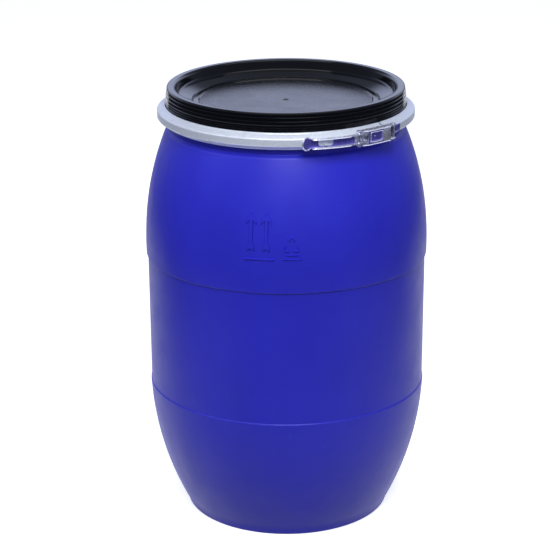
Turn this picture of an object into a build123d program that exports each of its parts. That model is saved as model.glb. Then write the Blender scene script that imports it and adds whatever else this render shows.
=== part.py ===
from build123d import *
import os
from math import asin, cos, degrees, hypot, radians, sin, sqrt

# Open-head plastic drum with a lid, a lever-lock clamp band and its over-centre latch.
# Millimetres.  The origin is on the drum axis at the floor, +Z is up and the front is -Y.
# Angles round the drum are in degrees, measured from the front (-Y) towards +X.

# ---- drum body -----------------------------------------------------------------------
WALL = 3.8                      # blow-moulded wall
BULGE_ARC_R = 540.0             # meridian radius of both barrel bulges
UPPER_BULGE_R = 250.5           # largest radius of the upper bulge
UPPER_BULGE_Z = 500.0           # height of that radius
LOWER_BULGE_R = 248.2
LOWER_BULGE_Z = 262.0
UPPER_LINE_Z = 480.0            # the upper bulge steps in to the middle panel here
LOWER_LINE_Z = 239.4            # the middle panel steps out to the lower bulge here
LINE_DROP = 1.8                 # height over which each step happens
PANEL_TOP_R = 247.4
PANEL_LOW_R = 246.4
CHIME_Z = 7.0                   # the lower bulge ends on the rounded foot
FOOT_OUT_R = 178.5
FOOT_IN_R = 160.0
PUSH_UP_R = 149.0               # the base centre is pushed up off the floor
PUSH_UP_Z = 8.0
BASE_WALL = 4.4
SHOULDER_Z = 703.0              # the upper bulge ends under the neck groove
GROOVE_R = 205.8
GROOVE_LOW_Z = 708.0
BEAD_R = 220.4                  # outward bead that the clamp band grips
BEAD_TOP_Z = 736.7
NECK_OUT_R = 204.5
NECK_IN_R = 200.5
NECK_TOP_Z = 771.0
NECK_FOOT_Z = 712.0             # inside, the neck turns into the shoulder here
SHOULDER_IN_Z = 698.0
EDGE = 1.2                      # small moulded chamfers

# ---- clamp band ----------------------------------------------------------------------
BAND_T = 1.4                    # galvanised sheet
BAND_R = 225.4                  # outer face
BAND_LOW_Z = 727.0
BAND_HIGH_Z = 740.0
LEG_R = 211.4                   # free edges of the two sloping legs
LEG_RISE = 7.8                  # height of each leg
BAND_BEND_R = 2.2
SPLIT_ANGLE = 47.3
SPLIT_GAP = 3.0
GRIP_GAP = 0.35                 # band to flange, measured along Z

LEG_SLOPE = LEG_RISE / (BAND_R - LEG_R)
LEG_T_Z = BAND_T * hypot(1.0, LEG_SLOPE)
LATCH_Z = (BAND_LOW_Z + BAND_HIGH_Z) / 2

# ---- lid -----------------------------------------------------------------------------
LID_WALL = 3.0
LID_FLANGE_Z = 737.0            # underside of the flange on the bead
LID_FLANGE_IN_R = 206.0
LID_FLANGE_R = 219.6
LID_SKIRT_R = 210.8             # outer wall, stepping in as it rises
LID_SKIRT_STEPS = ((751.0, 210.3), (754.0, 209.8), (764.0, 209.0), (776.0, 208.2))
LID_STEP_RISE = 0.8
LID_TOP_Z = 779.6
LID_CROWN_IN_R = 193.0
LID_CROWN_EDGE = 1.8
LID_DISH_R = 188.5
LID_DISH_Z = 763.0
LID_SLOPE_R = 163.5
LID_SLOPE_Z = 754.2
LID_LEDGE_Z = 753.2
LID_PANEL_R = 151.0
LID_PANEL_Z = 752.0
LID_GATE_R = 6.0                # moulding gate nub at the centre
LID_GATE_H = 1.0

# ---- gasket --------------------------------------------------------------------------
GASKET_IN_R = 200.5
GASKET_OUT_R = 204.9
GASKET_LOW_Z = NECK_TOP_Z + 0.3
GASKET_TOP_Z = LID_TOP_Z - LID_WALL

# ---- latch ---------------------------------------------------------------------------
SHEET = 1.5                     # latch pressings
FULCRUM_ANGLE = 35.0
FULCRUM_R = 230.6
CRANK = 12.5                    # fulcrum pin to link pin
OVER_CENTRE = 6.0               # how far past dead centre the closed lever lies
KEEPER_ANGLE = 51.0
KEEPER_R = 232.0
PIN_R = 2.2
BAR_R = 2.4
PIN_CLEARANCE = 0.05
HEAD_R = 3.5
HEAD_T = 1.2
HEAD_GAP = 0.2

LEVER_IN_R = 228.6
LEVER_OUT_R = 236.6
LEVER_HALF = 8.0                # half height of the lever channel
LEVER_WEB_ANGLE = 29.6          # the web stops short of the link pin here
LEVER_NECK_ANGLE = 10.5         # the channel turns into the finger tab here
LEVER_EAR_ANGLE = 31.5
LEVER_EAR_R = 4.2
LINK_EAR_ON_LEVER_R = 3.8
TAB_ANGLE = 8.6                 # centre of the oval finger tab
TAB_HALF_WIDTH = 8.6
TAB_HALF_HEIGHT = 11.0
TAB_TIP_ANGLE = 6.4
TAB_LIFT = 8.6                  # how far the tab's tip stands off the channel
WINDOW_START = 13.3
WINDOW_END = 19.9
WINDOW_HALF = 5.6

LINK_HALF = 12.5                # half height of the draw link
LINK_WEB_START = 14.5           # distances along the link from the link pin
LINK_WEB_END_GAP = 13.0
LINK_TOP = 8.5                  # outer face of the web off the pin line
LINK_EAR_R = 4.6
LINK_RECESS_START = 18.5
LINK_RECESS_END = 46.5
LINK_RECESS_HALF = 8.4
LINK_RECESS_DEPTH = 2.2
LINK_RECESS_CORNER = 4.0
LINK_DIMPLE_AT = 29.0
LINK_DIMPLE_R = 1.7
LINK_DIMPLE_H = 0.9

BRACKET_FACE_R = BAND_R + 0.05
BRACKET_START = 33.4
BRACKET_END = 41.2
BRACKET_HALF = 5.5
BRACKET_EAR_R = 4.2
BRACKET_EAR_HALF_ANGLE = 1.05
KEEPER_END = 58.5
KEEPER_HALF = 5.8
KEEPER_WALL_HALF = 9.5
KEEPER_WALL_GAP = 1.2           # keeper wall to hook bar, closed
KEEPER_WALL_BELOW = 0.55        # wall top short of the bar's centre line

LUG_ANGLE = 16.6
LUG_HALF_ANGLE = 0.95
LUG_TIP_R = 236.2
LUG_LOW = -2.9                  # heights from the latch's middle plane
LUG_T = 1.8
LUG_FOOT_TOP = 5.0
LUG_HOLE_R = 1.8
LUG_HOLE_AT_R = 232.4


def polar(radius, angle):
    """Plan point at a radius and an angle round the drum."""
    return (radius * sin(radians(angle)), -radius * cos(radians(angle)))


def arc_radius(bulge_r, bulge_z, height, inset=0.0):
    """Radius of a barrel bulge at a height, on a surface set in by inset."""
    reach = sqrt((BULGE_ARC_R - inset) ** 2 - (height - bulge_z) ** 2)
    return bulge_r - BULGE_ARC_R + reach


def bulge_arc(bulge_r, bulge_z, start_z, end_z, inset=0.0):
    """Meridian arc of a barrel bulge between two heights."""
    middle_z = (start_z + end_z) / 2
    points = [(arc_radius(bulge_r, bulge_z, z, inset), z) for z in (start_z, middle_z, end_z)]
    return ThreePointArc(*points)


def chime_arc():
    """Rounding at the drum's foot, tangent to the floor."""
    chime_r = arc_radius(LOWER_BULGE_R, LOWER_BULGE_Z, CHIME_Z)
    reach = chime_r - FOOT_OUT_R
    radius = (reach ** 2 + CHIME_Z ** 2) / (2 * CHIME_Z)
    half_turn = asin(reach / radius) / 2
    middle = (FOOT_OUT_R + radius * sin(half_turn), radius * (1 - cos(half_turn)))
    return ThreePointArc((FOOT_OUT_R, 0), middle, (chime_r, CHIME_Z))


def turned(edges):
    """Solid turned about the drum axis from a closed outline of (radius, height) edges."""
    return revolve(Plane.XZ * make_face(edges), Axis.Z, 360)


def under_band(radius):
    """Height of the bead's underside, just above the band's lower leg."""
    return BAND_LOW_Z - (BAND_R - radius) * LEG_SLOPE + LEG_T_Z + GRIP_GAP


def over_band(radius):
    """Height of the lid flange's top, just below the band's upper leg."""
    return BAND_HIGH_Z + (BAND_R - radius) * LEG_SLOPE - LEG_T_Z - GRIP_GAP


def sector(inner, outer, start, end):
    """Flat ring sector between two radii and two angles."""
    middle = (start + end) / 2
    return make_face([
        Line(polar(inner, start), polar(outer, start)),
        ThreePointArc(polar(outer, start), polar(outer, middle), polar(outer, end)),
        Line(polar(outer, end), polar(inner, end)),
        ThreePointArc(polar(inner, end), polar(inner, middle), polar(inner, start)),
    ])


def slab(face, low, high):
    """Plan face raised between two heights, given from the latch's middle plane."""
    return Pos(0, 0, LATCH_Z + low) * extrude(face, high - low)


def pair(face, low, high):
    """The same plate above and below the latch's middle plane."""
    return slab(face, low, high) + slab(face, -high, -low)


def disc(point, radius):
    """Flat disc about a plan point."""
    return Pos(*point) * Circle(radius)


def latch_frame_point(along, out):
    """Plan point from its tangential and radial distances in the fulcrum's frame."""
    turn = radians(FULCRUM_ANGLE)
    return (along * cos(turn) + out * sin(turn), along * sin(turn) - out * cos(turn))


FULCRUM = polar(FULCRUM_R, FULCRUM_ANGLE)
LINK_PIN = latch_frame_point(
    -CRANK * cos(radians(OVER_CENTRE)), FULCRUM_R - CRANK * sin(radians(OVER_CENTRE))
)
KEEPER = polar(KEEPER_R, KEEPER_ANGLE)
LINK_LENGTH = hypot(KEEPER[0] - LINK_PIN[0], KEEPER[1] - LINK_PIN[1])
LINK_PLANE = Plane(
    origin=(LINK_PIN[0], LINK_PIN[1], LATCH_Z),
    x_dir=(KEEPER[0] - LINK_PIN[0], KEEPER[1] - LINK_PIN[1], 0),
    z_dir=(0, 0, 1),
)


def drum_body():
    """One-piece barrel: base, two bulges round a middle panel, bead and neck."""
    shoulder_r = arc_radius(UPPER_BULGE_R, UPPER_BULGE_Z, SHOULDER_Z)
    upper_line_r = arc_radius(UPPER_BULGE_R, UPPER_BULGE_Z, UPPER_LINE_Z)
    lower_line_r = arc_radius(LOWER_BULGE_R, LOWER_BULGE_Z, LOWER_LINE_Z)
    inner_chime_z = CHIME_Z + 2 * WALL
    inner_shoulder_r = arc_radius(UPPER_BULGE_R, UPPER_BULGE_Z, SHOULDER_IN_Z, WALL)
    inner_upper_r = arc_radius(UPPER_BULGE_R, UPPER_BULGE_Z, UPPER_LINE_Z, WALL)
    inner_lower_r = arc_radius(LOWER_BULGE_R, LOWER_BULGE_Z, LOWER_LINE_Z, WALL)
    inner_chime_r = arc_radius(LOWER_BULGE_R, LOWER_BULGE_Z, inner_chime_z, WALL)
    edges = [
        Polyline((0, PUSH_UP_Z), (PUSH_UP_R, PUSH_UP_Z), (FOOT_IN_R, 0), (FOOT_OUT_R, 0)),
        chime_arc(),
        bulge_arc(LOWER_BULGE_R, LOWER_BULGE_Z, CHIME_Z, LOWER_LINE_Z),
        Polyline(
            (lower_line_r, LOWER_LINE_Z),
            (PANEL_LOW_R, LOWER_LINE_Z + LINE_DROP),
            (PANEL_TOP_R, UPPER_LINE_Z - LINE_DROP),
            (upper_line_r, UPPER_LINE_Z),
        ),
        bulge_arc(UPPER_BULGE_R, UPPER_BULGE_Z, UPPER_LINE_Z, SHOULDER_Z),
        Polyline(
            (shoulder_r, SHOULDER_Z),
            (GROOVE_R, GROOVE_LOW_Z),
            (GROOVE_R, under_band(GROOVE_R)),
            (BEAD_R, under_band(BEAD_R)),
            (BEAD_R, BEAD_TOP_Z - EDGE),
            (BEAD_R - EDGE, BEAD_TOP_Z),
            (NECK_OUT_R, BEAD_TOP_Z),
            (NECK_OUT_R, NECK_TOP_Z - EDGE),
            (NECK_OUT_R - EDGE, NECK_TOP_Z),
            (NECK_IN_R + EDGE, NECK_TOP_Z),
            (NECK_IN_R, NECK_TOP_Z - EDGE),
            (NECK_IN_R, NECK_FOOT_Z),
            (inner_shoulder_r, SHOULDER_IN_Z),
        ),
        bulge_arc(UPPER_BULGE_R, UPPER_BULGE_Z, SHOULDER_IN_Z, UPPER_LINE_Z, WALL),
        Polyline(
            (inner_upper_r, UPPER_LINE_Z),
            (PANEL_TOP_R - WALL, UPPER_LINE_Z - LINE_DROP),
            (PANEL_LOW_R - WALL, LOWER_LINE_Z + LINE_DROP),
            (inner_lower_r, LOWER_LINE_Z),
        ),
        bulge_arc(LOWER_BULGE_R, LOWER_BULGE_Z, LOWER_LINE_Z, inner_chime_z, WALL),
        Polyline(
            (inner_chime_r, inner_chime_z),
            (FOOT_OUT_R - WALL, BASE_WALL),
            (FOOT_IN_R + WALL, BASE_WALL),
            (PUSH_UP_R, PUSH_UP_Z + BASE_WALL),
            (0, PUSH_UP_Z + BASE_WALL),
            (0, PUSH_UP_Z),
        ),
    ]
    return turned(edges)


def lid():
    """Moulded lid: flange on the bead, inverted channel over the neck, dished panel."""
    outer = [
        (LID_FLANGE_IN_R, LID_FLANGE_Z),
        (LID_FLANGE_R, LID_FLANGE_Z),
        (LID_FLANGE_R, over_band(LID_FLANGE_R)),
        (LID_SKIRT_R, over_band(LID_SKIRT_R)),
    ]
    radius = LID_SKIRT_R
    for height, next_radius in LID_SKIRT_STEPS:
        outer.append((radius, height))
        outer.append((next_radius, height + LID_STEP_RISE))
        radius = next_radius
    crown = [
        (radius, LID_TOP_Z - LID_CROWN_EDGE),
        (radius - LID_CROWN_EDGE, LID_TOP_Z),
        (LID_CROWN_IN_R + LID_CROWN_EDGE, LID_TOP_Z),
        (LID_CROWN_IN_R, LID_TOP_Z - LID_CROWN_EDGE),
    ]
    dish = [
        (LID_DISH_R, LID_DISH_Z),
        (LID_SLOPE_R, LID_SLOPE_Z),
        (LID_SLOPE_R - EDGE, LID_LEDGE_Z),
        (LID_PANEL_R + EDGE, LID_LEDGE_Z),
        (LID_PANEL_R, LID_PANEL_Z),
        (LID_GATE_R, LID_PANEL_Z),
        (LID_GATE_R - EDGE, LID_PANEL_Z + LID_GATE_H),
        (0, LID_PANEL_Z + LID_GATE_H),
    ]
    under = [
        (0, LID_PANEL_Z - LID_WALL),
        (LID_PANEL_R, LID_PANEL_Z - LID_WALL),
        (LID_SLOPE_R, LID_LEDGE_Z - LID_WALL),
        (LID_DISH_R + LID_WALL, LID_DISH_Z - LID_WALL),
        (LID_CROWN_IN_R + LID_WALL, LID_TOP_Z - LID_WALL),
        (LID_SKIRT_STEPS[-1][1] - LID_WALL, LID_TOP_Z - LID_WALL),
        (LID_FLANGE_IN_R, LID_SKIRT_STEPS[2][0]),
        (LID_FLANGE_IN_R, LID_FLANGE_Z),
    ]
    return turned([Polyline(*outer, *crown, *dish, *under)])


def lid_gasket():
    """Flat rubber ring in the top of the lid's channel."""
    return turned([
        Polyline(
            (GASKET_IN_R, GASKET_LOW_Z),
            (GASKET_OUT_R, GASKET_LOW_Z),
            (GASKET_OUT_R, GASKET_TOP_Z),
            (GASKET_IN_R, GASKET_TOP_Z),
            close=True,
        )
    ])


def clamp_band():
    """Split ring of channel section whose sloping legs draw the lid onto the bead."""
    inner_r = BAND_R - BAND_T
    inner_shift = BAND_T * LEG_SLOPE - LEG_T_Z
    section = make_face(
        Polyline(
            (LEG_R, BAND_LOW_Z - LEG_RISE),
            (BAND_R, BAND_LOW_Z),
            (BAND_R, BAND_HIGH_Z),
            (LEG_R, BAND_HIGH_Z + LEG_RISE),
            (LEG_R, BAND_HIGH_Z + LEG_RISE - LEG_T_Z),
            (inner_r, BAND_HIGH_Z + inner_shift),
            (inner_r, BAND_LOW_Z - inner_shift),
            (LEG_R, BAND_LOW_Z - LEG_RISE + LEG_T_Z),
            close=True,
        )
    )
    outer_bends = section.vertices().filter_by(lambda v: v.X > BAND_R - 0.1)
    section = fillet(outer_bends, BAND_BEND_R)
    inner_bends = section.vertices().filter_by(lambda v: abs(v.X - inner_r) < 0.01)
    section = fillet(inner_bends, BAND_BEND_R - BAND_T)
    ring = revolve(Plane.XZ * section, Axis.Z, 360)
    cut_x, cut_y = polar(BAND_R, SPLIT_ANGLE)
    split = Box(SPLIT_GAP, 4 * LEG_RISE, 6 * LEG_RISE)
    return ring - Pos(cut_x, cut_y, LATCH_Z) * Rot(0, 0, SPLIT_ANGLE) * split


def latch_lever():
    """Channel-shaped lever: two ears on the pins, a window and an oval finger tab."""
    tip_in = polar(LEVER_IN_R + TAB_LIFT, TAB_TIP_ANGLE)
    tip_out = polar(LEVER_IN_R + TAB_LIFT + SHEET, TAB_TIP_ANGLE)
    neck_in = polar(LEVER_IN_R, LEVER_NECK_ANGLE)
    neck_out = polar(LEVER_IN_R + SHEET, LEVER_NECK_ANGLE)
    sag = TAB_LIFT * 0.3
    middle_in = polar(LEVER_IN_R + sag, TAB_ANGLE)
    middle_out = polar(LEVER_IN_R + sag + SHEET, TAB_ANGLE)
    tab_plan = make_face([
        ThreePointArc(neck_in, middle_in, tip_in),
        Line(tip_in, tip_out),
        ThreePointArc(tip_out, middle_out, neck_out),
        Line(neck_out, neck_in),
    ])
    tab_x, tab_y = polar(LEVER_OUT_R, TAB_ANGLE)
    tab_frame = Pos(tab_x, tab_y, LATCH_Z) * Rot(0, 0, TAB_ANGLE) * Rot(90, 0, 0)
    tab_outline = extrude(Ellipse(TAB_HALF_WIDTH, TAB_HALF_HEIGHT), 3 * TAB_LIFT, both=True)
    tab = slab(tab_plan, -TAB_HALF_HEIGHT, TAB_HALF_HEIGHT) & tab_frame * tab_outline
    web = slab(
        sector(LEVER_IN_R, LEVER_IN_R + SHEET, LEVER_NECK_ANGLE - 0.2, LEVER_WEB_ANGLE),
        -LEVER_HALF,
        LEVER_HALF,
    )
    flange = sector(LEVER_IN_R, LEVER_OUT_R, LEVER_NECK_ANGLE, LEVER_EAR_ANGLE)
    ear_low = FULCRUM_R - LEVER_EAR_R
    ear_high = FULCRUM_R + LEVER_EAR_R
    ear = sector(ear_low, ear_high, LEVER_EAR_ANGLE - 0.2, FULCRUM_ANGLE)
    plate = flange + ear + disc(FULCRUM, LEVER_EAR_R) + disc(LINK_PIN, LINK_EAR_ON_LEVER_R)
    plate -= disc(FULCRUM, PIN_R + PIN_CLEARANCE)
    plate -= disc(LINK_PIN, PIN_R + PIN_CLEARANCE)
    lever = tab + web + pair(plate, LEVER_HALF - SHEET, LEVER_HALF)
    end_angle = degrees(WINDOW_HALF / LEVER_IN_R)
    window = slab(
        sector(
            LEVER_IN_R - 2 * SHEET,
            LEVER_IN_R + 2 * SHEET,
            WINDOW_START + end_angle,
            WINDOW_END - end_angle,
        ),
        -WINDOW_HALF,
        WINDOW_HALF,
    )
    for angle in (WINDOW_START + end_angle, WINDOW_END - end_angle):
        end_x, end_y = polar(LEVER_IN_R, angle)
        end = Pos(end_x, end_y, LATCH_Z) * Rot(0, 0, angle) * Rot(90, 0, 0)
        window += end * Cylinder(WINDOW_HALF, 4 * SHEET)
    return lever - window


def draw_link():
    """Wide channel that spans the split, from the lever's link pin to the hook bar."""
    web_end = LINK_LENGTH - LINK_WEB_END_GAP
    flange = make_face(
        Polyline(
            (0, LINK_EAR_R),
            (LINK_LENGTH, LINK_EAR_R),
            (LINK_LENGTH, -LINK_EAR_R),
            (web_end, -LINK_TOP),
            (LINK_WEB_START, -LINK_TOP),
            (0, -LINK_EAR_R),
            close=True,
        )
    )
    flange += Circle(LINK_EAR_R) + Pos(LINK_LENGTH, 0) * Circle(LINK_EAR_R)
    flange -= Circle(PIN_R + PIN_CLEARANCE)
    flange -= Pos(LINK_LENGTH, 0) * Circle(BAR_R)
    low_flange = Pos(0, 0, -LINK_HALF) * extrude(flange, SHEET)
    high_flange = Pos(0, 0, LINK_HALF - SHEET) * extrude(flange, SHEET)
    web_length = web_end - LINK_WEB_START
    web = Pos(LINK_WEB_START + web_length / 2, SHEET / 2 - LINK_TOP, 0) * Box(
        web_length, SHEET, 2 * LINK_HALF
    )
    recess_length = LINK_RECESS_END - LINK_RECESS_START
    recess_middle = (LINK_RECESS_START + LINK_RECESS_END) / 2
    upright = Rot(90, 0, 0)
    pan_face = RectangleRounded(recess_length, 2 * LINK_RECESS_HALF, LINK_RECESS_CORNER)
    hollow_face = RectangleRounded(
        recess_length - 2 * SHEET, 2 * (LINK_RECESS_HALF - SHEET), LINK_RECESS_CORNER - SHEET
    )
    pan_inner = LINK_RECESS_DEPTH + SHEET - LINK_TOP
    pan = Pos(recess_middle, pan_inner, 0) * upright * extrude(
        pan_face, LINK_RECESS_DEPTH + SHEET
    )
    hollow = Pos(recess_middle, pan_inner - SHEET, 0) * upright * extrude(
        hollow_face, 2 * LINK_RECESS_DEPTH
    )
    dimple = Pos(LINK_DIMPLE_AT, pan_inner - SHEET, 0) * upright * extrude(
        Circle(LINK_DIMPLE_R), LINK_DIMPLE_H
    )
    link = low_flange + high_flange + web + pan - hollow + dimple
    return LINK_PLANE * link


def headed_pin(point, radius, half_grip, head_r):
    """Round pin with a head at each end, standing along Z."""
    shank_half = half_grip + HEAD_GAP
    pin = slab(disc(point, radius), -shank_half - HEAD_T, shank_half + HEAD_T)
    return pin + pair(disc(point, head_r), shank_half, shank_half + HEAD_T)


def fulcrum_bracket():
    """Bracket on the band's left end whose two ears hold the fulcrum pin."""
    base = slab(
        sector(BRACKET_FACE_R, BRACKET_FACE_R + SHEET, BRACKET_START, BRACKET_END),
        -BRACKET_HALF,
        BRACKET_HALF,
    )
    ear = sector(
        BRACKET_FACE_R + SHEET / 2,
        FULCRUM_R,
        FULCRUM_ANGLE - BRACKET_EAR_HALF_ANGLE,
        FULCRUM_ANGLE + BRACKET_EAR_HALF_ANGLE,
    )
    ear += disc(FULCRUM, BRACKET_EAR_R)
    ear -= disc(FULCRUM, PIN_R)
    return base + pair(ear, BRACKET_HALF - SHEET, BRACKET_HALF)


def keeper_bracket():
    """Bracket on the band's right end with the wall that the hook bar pulls on."""
    right = KEEPER_ANGLE - degrees((BAR_R + KEEPER_WALL_GAP) / KEEPER_R)
    left = right - degrees(SHEET / KEEPER_R)
    base = slab(
        sector(BRACKET_FACE_R, BRACKET_FACE_R + SHEET, left, KEEPER_END),
        -KEEPER_HALF,
        KEEPER_HALF,
    )
    wall_top = KEEPER_R - KEEPER_WALL_BELOW
    wall = slab(
        sector(BRACKET_FACE_R, wall_top, left, right), -KEEPER_WALL_HALF, KEEPER_WALL_HALF
    )
    return base + wall


def seal_lug():
    """Tab on the band that passes through the lever's window and takes a seal."""
    start = LUG_ANGLE - LUG_HALF_ANGLE
    end = LUG_ANGLE + LUG_HALF_ANGLE
    foot = slab(sector(BRACKET_FACE_R, BRACKET_FACE_R + SHEET / 2, start, end), LUG_LOW, LUG_FOOT_TOP)
    tab = sector(BRACKET_FACE_R, LUG_TIP_R, start, end)
    tab -= disc(polar(LUG_HOLE_AT_R, LUG_ANGLE), LUG_HOLE_R)
    return foot + slab(tab, LUG_LOW, LUG_LOW + LUG_T)


PARTS = {
    "drum_body": drum_body(),
    "lid": lid(),
    "lid_gasket": lid_gasket(),
    "clamp_band": clamp_band(),
    "fulcrum_bracket": fulcrum_bracket(),
    "keeper_bracket": keeper_bracket(),
    "seal_lug": seal_lug(),
    "latch_lever": latch_lever(),
    "draw_link": draw_link(),
    "fulcrum_pin": headed_pin(FULCRUM, PIN_R, LEVER_HALF, HEAD_R),
    "link_pin": headed_pin(LINK_PIN, PIN_R, LINK_HALF, HEAD_R),
    "hook_bar": headed_pin(KEEPER, BAR_R, LINK_HALF - HEAD_GAP, HEAD_R),
}

os.makedirs("parts", exist_ok=True)
for node, shape in PARTS.items():
    export_step(shape, f"parts/{node}.step")
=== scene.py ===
"""Looks of a blow-moulded open-head drum: barrel, lid, clamp band and lever latch.

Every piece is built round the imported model, with the drum axis on Z, the floor at z = 0 and
the front at -Y.  The classes hold sizes in millimetres and meshes are in metres.  Angles
round the drum are in degrees, from the front to +X.
"""
import logging
from dataclasses import dataclass, field
from enum import Enum
from math import asin, ceil, cos, degrees, pi, radians, sin, sqrt, tan
from typing import Iterable, Sequence, Union

import bmesh
import bpy
from mathutils import Matrix, Vector


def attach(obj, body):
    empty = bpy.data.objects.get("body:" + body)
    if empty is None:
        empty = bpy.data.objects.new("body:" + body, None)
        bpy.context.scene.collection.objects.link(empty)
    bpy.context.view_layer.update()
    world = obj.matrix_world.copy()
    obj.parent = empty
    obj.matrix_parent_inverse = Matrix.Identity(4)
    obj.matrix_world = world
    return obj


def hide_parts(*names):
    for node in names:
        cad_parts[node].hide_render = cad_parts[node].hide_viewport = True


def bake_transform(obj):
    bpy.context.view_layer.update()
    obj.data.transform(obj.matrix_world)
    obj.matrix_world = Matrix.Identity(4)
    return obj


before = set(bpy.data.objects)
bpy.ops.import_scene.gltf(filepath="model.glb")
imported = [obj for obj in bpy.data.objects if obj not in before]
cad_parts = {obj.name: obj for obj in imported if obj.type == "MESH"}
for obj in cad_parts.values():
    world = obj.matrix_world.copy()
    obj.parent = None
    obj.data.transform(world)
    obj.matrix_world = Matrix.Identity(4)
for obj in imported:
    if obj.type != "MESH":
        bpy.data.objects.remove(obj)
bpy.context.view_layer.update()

log = logging.getLogger("drum")
Mesh = bmesh.types.BMesh
Socket = bpy.types.NodeSocket
Inputs = dict[Union[str, int], object]
Colour = tuple[float, float, float, float]
Triple = tuple[float, float, float]
Pair = tuple[float, float]

MM = 0.001
WELD = 1e-6                     # vertices nearer than this are one, in metres
SHARP_ANGLE = radians(38.0)
COPY_SHARP_ANGLE = radians(30.0)
FLAT_ANGLE = radians(1.0)
ARC_STEP = radians(14.0)
FACING = 0.5                    # least cosine to a direction that a face looks in
SIDE_SHARE = 0.48               # most of a side that a rounding takes
SUPPORT_GAP = 0.35              # flat strip beside a rounding, as a share of its reach
SUPPORT_MOST = 0.6              # and at most this wide, in millimetres
SUPPORT_ROOM = 2.2              # a side shorter than this many reaches has no strip


# ---- outlines and meshes ---------------------------------------------------------------


@dataclass(frozen=True)
class Turn:
    """One corner of a meridian outline.

    Args:
        radius: Distance from the drum axis in millimetres.
        height: Height in millimetres.
        fillet: Radius of the rounding at the corner in millimetres.
    """

    radius: float
    height: float
    fillet: float = 0.0


def polar(radius: float, angle: float, height: float = 0.0) -> Vector:
    """Gives a point by its radius, its angle round the drum and its height."""
    return Vector((radius * sin(radians(angle)), -radius * cos(radians(angle)), height))


def only(items: Iterable, kind: type) -> list:
    """Gives the vertices, the edges or the faces among mixed parts of a mesh."""
    return [item for item in items if isinstance(item, kind)]


def about_axis(angle: float) -> Matrix:
    """Gives a turn about the drum axis, by an angle in radians."""
    return Matrix.Rotation(angle, 3, "Z")


def rounded(turns: Sequence[Turn], closed: bool = False) -> list[Vector]:
    """Rounds the corners of an outline.

    Args:
        turns: Corners in order, in millimetres.
        closed: True if the last corner joins the first.

    Returns:
        Points of (radius, 0, height) in metres.
    """
    points: list[Vector] = []
    count = len(turns)
    for index, turn in enumerate(turns):
        here = Vector((turn.radius, turn.height))
        if turn.fillet <= 0.0 or not (closed or 0 < index < count - 1):
            points.append(here)
            continue
        before = turns[index - 1]
        after = turns[(index + 1) % count]
        back = Vector((before.radius, before.height)) - here
        ahead = Vector((after.radius, after.height)) - here
        points.extend(corner_arc(here, back, ahead, turn.fillet))
    return [Vector((p.x * MM, 0.0, p.y * MM)) for p in points]


def corner_arc(corner: Vector, back: Vector, ahead: Vector, radius: float) -> list[Vector]:
    """Replaces one corner by an arc tangent to both of its sides.

    Args:
        corner: The corner.
        back: Vector from the corner to the point before it.
        ahead: Vector from the corner to the point after it.
        radius: Wanted radius, made smaller where the sides are too short.

    Returns:
        The arc's points, from the side before to the side after.
    """
    half = back.angle(ahead) / 2
    reach = min(radius / tan(half), SIDE_SHARE * back.length, SIDE_SHARE * ahead.length)
    radius = reach * tan(half)
    start = corner + back.normalized() * reach
    end = corner + ahead.normalized() * reach
    centre = corner + (back.normalized() + ahead.normalized()).normalized() * radius / sin(half)
    steps = max(2, ceil((pi - 2 * half) / ARC_STEP))
    first, last = start - centre, end - centre
    sweep = first.angle_signed(last)
    arc = [centre + Matrix.Rotation(-sweep * k / steps, 2) @ first for k in range(steps + 1)]
    beside = min(SUPPORT_GAP * reach, SUPPORT_MOST)
    if min(back.length, ahead.length) > SUPPORT_ROOM * (reach + beside):
        arc.insert(0, start + back.normalized() * beside)
        arc.append(end + ahead.normalized() * beside)
    return arc


def chain(bm: Mesh, points: Sequence[Vector], closed: bool = False) -> list:
    """Adds a chain of edges.

    Args:
        bm: Mesh to add to.
        points: Places of the vertices.
        closed: True to join the last point to the first.

    Returns:
        The new vertices and edges.
    """
    verts = [bm.verts.new(p) for p in points]
    pairs = list(zip(verts, verts[1:]))
    if closed:
        pairs.append((verts[-1], verts[0]))
    return verts + [bm.edges.new(pair) for pair in pairs]


def lathe(points: Sequence[Vector], steps: int, closed: bool = False) -> Mesh:
    """Spins an outline all the way round the drum axis.

    Args:
        points: Outline in the XZ plane.
        steps: Number of facets round the axis.
        closed: True for a section that closes on itself, away from the axis.

    Returns:
        The closed solid, with its faces pointing outwards.
    """
    bm = bmesh.new()
    geometry = chain(bm, points, closed)
    bmesh.ops.spin(
        bm, geom=geometry, cent=(0, 0, 0), axis=(0, 0, 1), dvec=(0, 0, 0),
        angle=2 * pi, steps=steps, use_merge=True, use_duplicate=False,
    )
    bmesh.ops.remove_doubles(bm, verts=bm.verts, dist=WELD)
    bmesh.ops.recalc_face_normals(bm, faces=bm.faces)
    return bm


def roll_edge(
    bm: Mesh, path: Sequence[Vector], radii: Sequence[float], closed: bool = False
) -> None:
    """Adds a rolled edge of round section along a path.

    Args:
        bm: Mesh to add to.
        path: Points of the path, in metres.
        radii: Radius of the section at each point, in metres.
        closed: True if the path closes on itself.
    """
    curve = bpy.data.curves.new("rolled_edge", "CURVE")
    curve.dimensions = "3D"
    curve.bevel_depth = 1.0
    curve.bevel_resolution = 2
    curve.use_fill_caps = True
    spline = curve.splines.new("POLY")
    spline.points.add(len(path) - 1)
    for point, place, radius in zip(spline.points, path, radii):
        point.co = (*place, 1.0)
        point.radius = radius
    spline.use_cyclic_u = closed
    carrier = bpy.data.objects.new("rolled_edge", curve)
    mesh = bpy.data.meshes.new_from_object(carrier)
    edge = bmesh.new()
    edge.from_mesh(mesh)
    bmesh.ops.remove_doubles(edge, verts=edge.verts, dist=WELD)
    bmesh.ops.recalc_face_normals(edge, faces=edge.faces)
    edge.to_mesh(mesh)
    edge.free()
    bm.from_mesh(mesh)
    bpy.data.objects.remove(carrier)
    bpy.data.curves.remove(curve)
    bpy.data.meshes.remove(mesh)


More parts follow.
